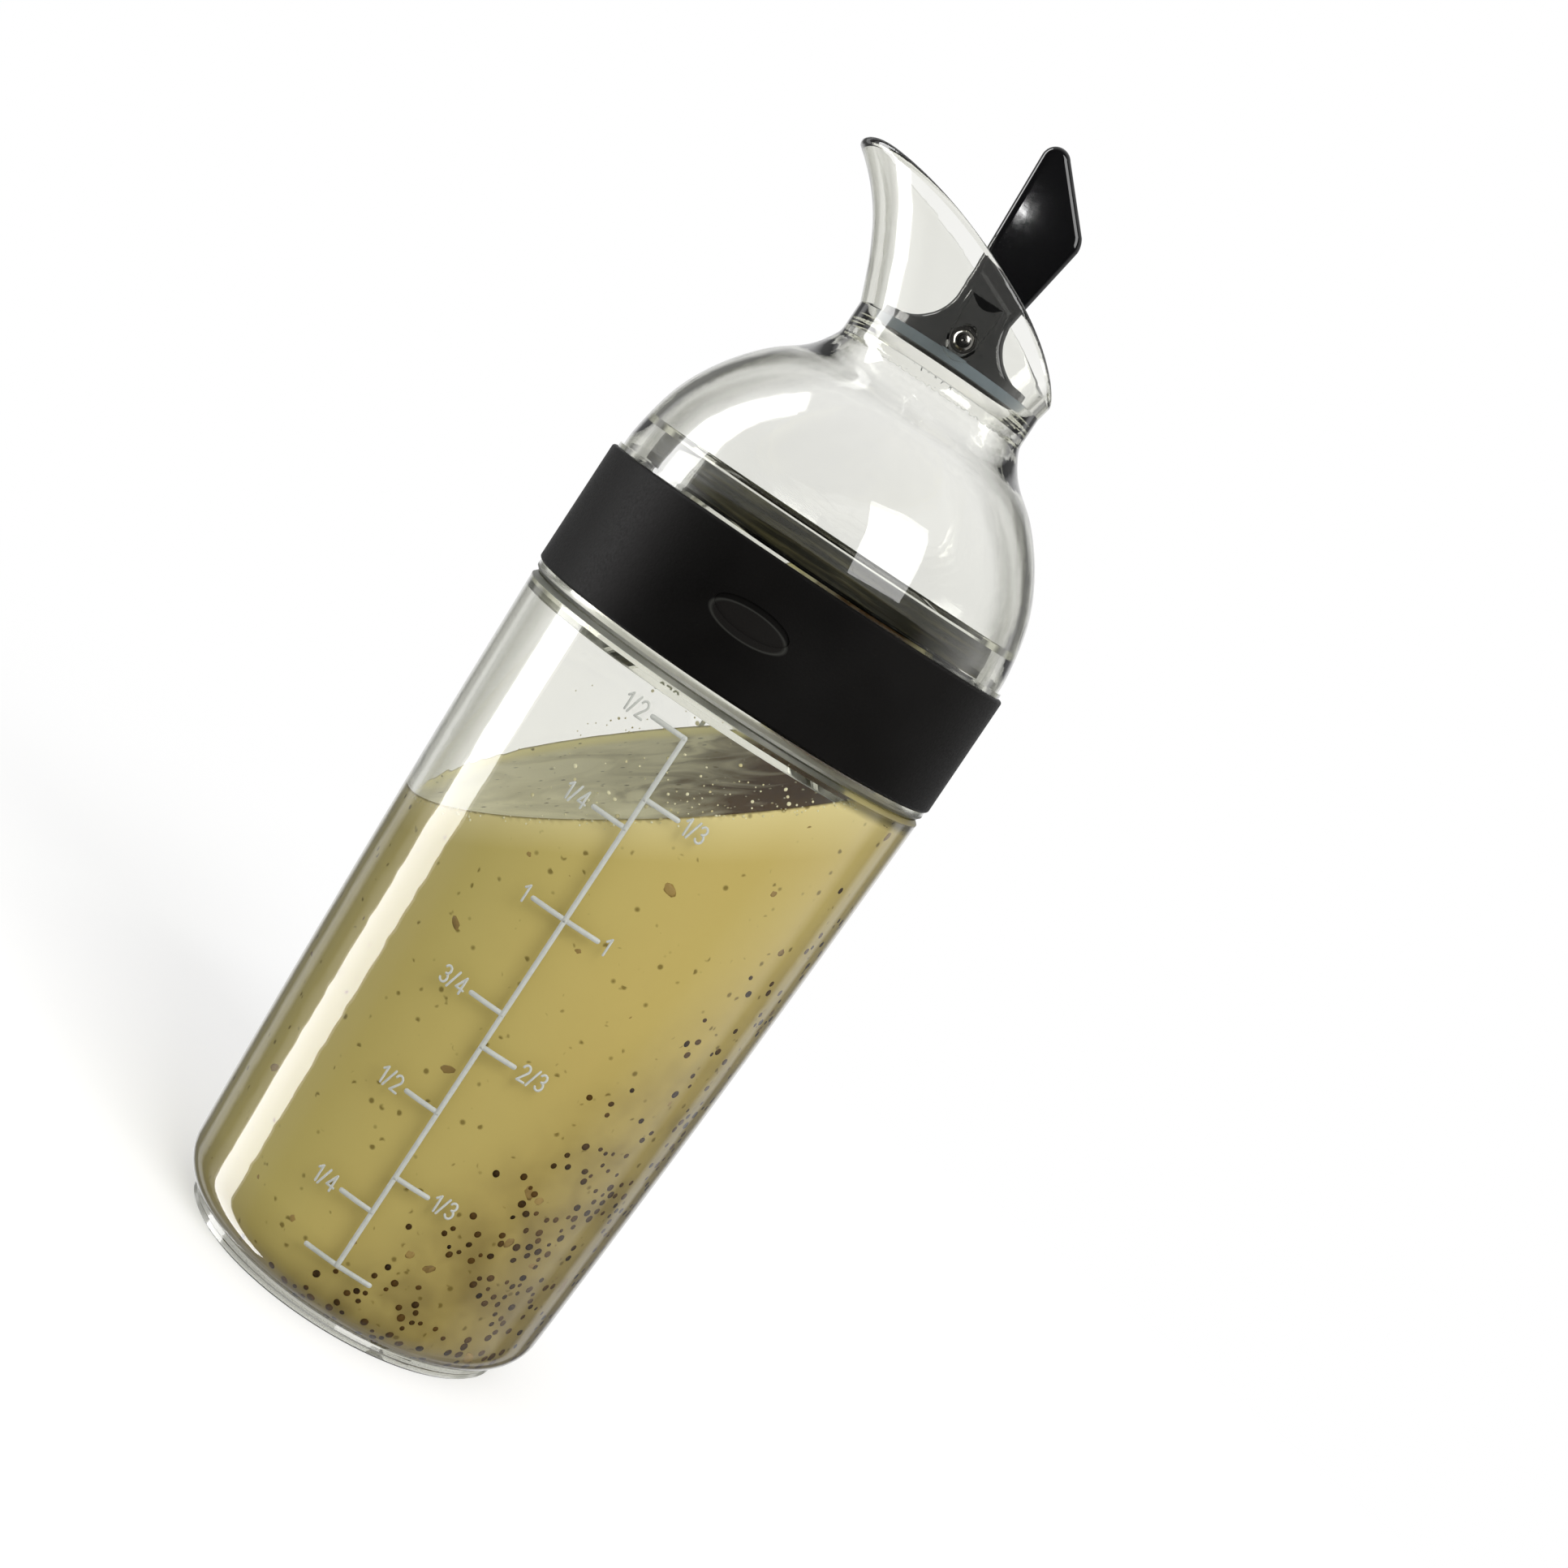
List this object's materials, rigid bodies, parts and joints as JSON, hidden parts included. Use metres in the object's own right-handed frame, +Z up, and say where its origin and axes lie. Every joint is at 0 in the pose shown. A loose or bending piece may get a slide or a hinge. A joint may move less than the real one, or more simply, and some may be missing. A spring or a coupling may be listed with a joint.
{
  "type": "salad dressing shaker bottle",
  "caption": "Clear measuring cup with a screw-on clear lid, a soft grip band, and a pour spout shut by a tilting lever with a ring-sealed stopper.",
  "frame": {"origin": "centre of the foot, on the surface that the bottle stands on", "axes": "+Z up along the bottle's axis, the pour lip points along -X, the lever's pin lies along Y with its head at -Y, and the printed measuring scale faces -Y"},
  "size_m": [0.0748, 0.0748, 0.2154],
  "materials": {
    "clear_plastic": "clear moulded copolyester, polished",
    "grip_rubber": "soft matt overmould",
    "gasket_rubber": "dark flexible gasket",
    "ring_silicone": "grey-blue silicone",
    "lever_plastic": "gloss black",
    "retainer_plastic": "black moulded",
    "pin_steel": "polished stainless"
  },
  "bodies": {
    "cup": {"cup": "clear_plastic"},
    "seal": {"lid_seal": "gasket_rubber"},
    "lid": {"spout_dome": "clear_plastic", "grip_band": "grip_rubber", "pivot_pin": "pin_steel"},
    "lever": {"lever": "lever_plastic", "stopper_seal": "ring_silicone", "seal_retainer": "retainer_plastic"}
  },
  "joints": [
    {"name": "lid_rise", "type": "slide", "parent": "cup", "child": "seal", "axis": [0, 0, 1], "range_m": [0, 0.0249]},
    {"name": "lid_turn", "type": "hinge", "parent": "seal", "child": "lid", "pos_m": [0, 0, 0.139], "axis": [0, 0, 1], "range_deg": [0, 1116]},
    {"name": "lever_tilt", "type": "hinge", "parent": "lid", "child": "lever", "pos_m": [0, 0, 0.1811], "axis": [0, 1, 0], "range_deg": [0, 50]}
  ],
  "couplings": [
    {"joint": "lid_rise", "follows": "lid_turn", "m_per_rad": 0.0012732}
  ]
}
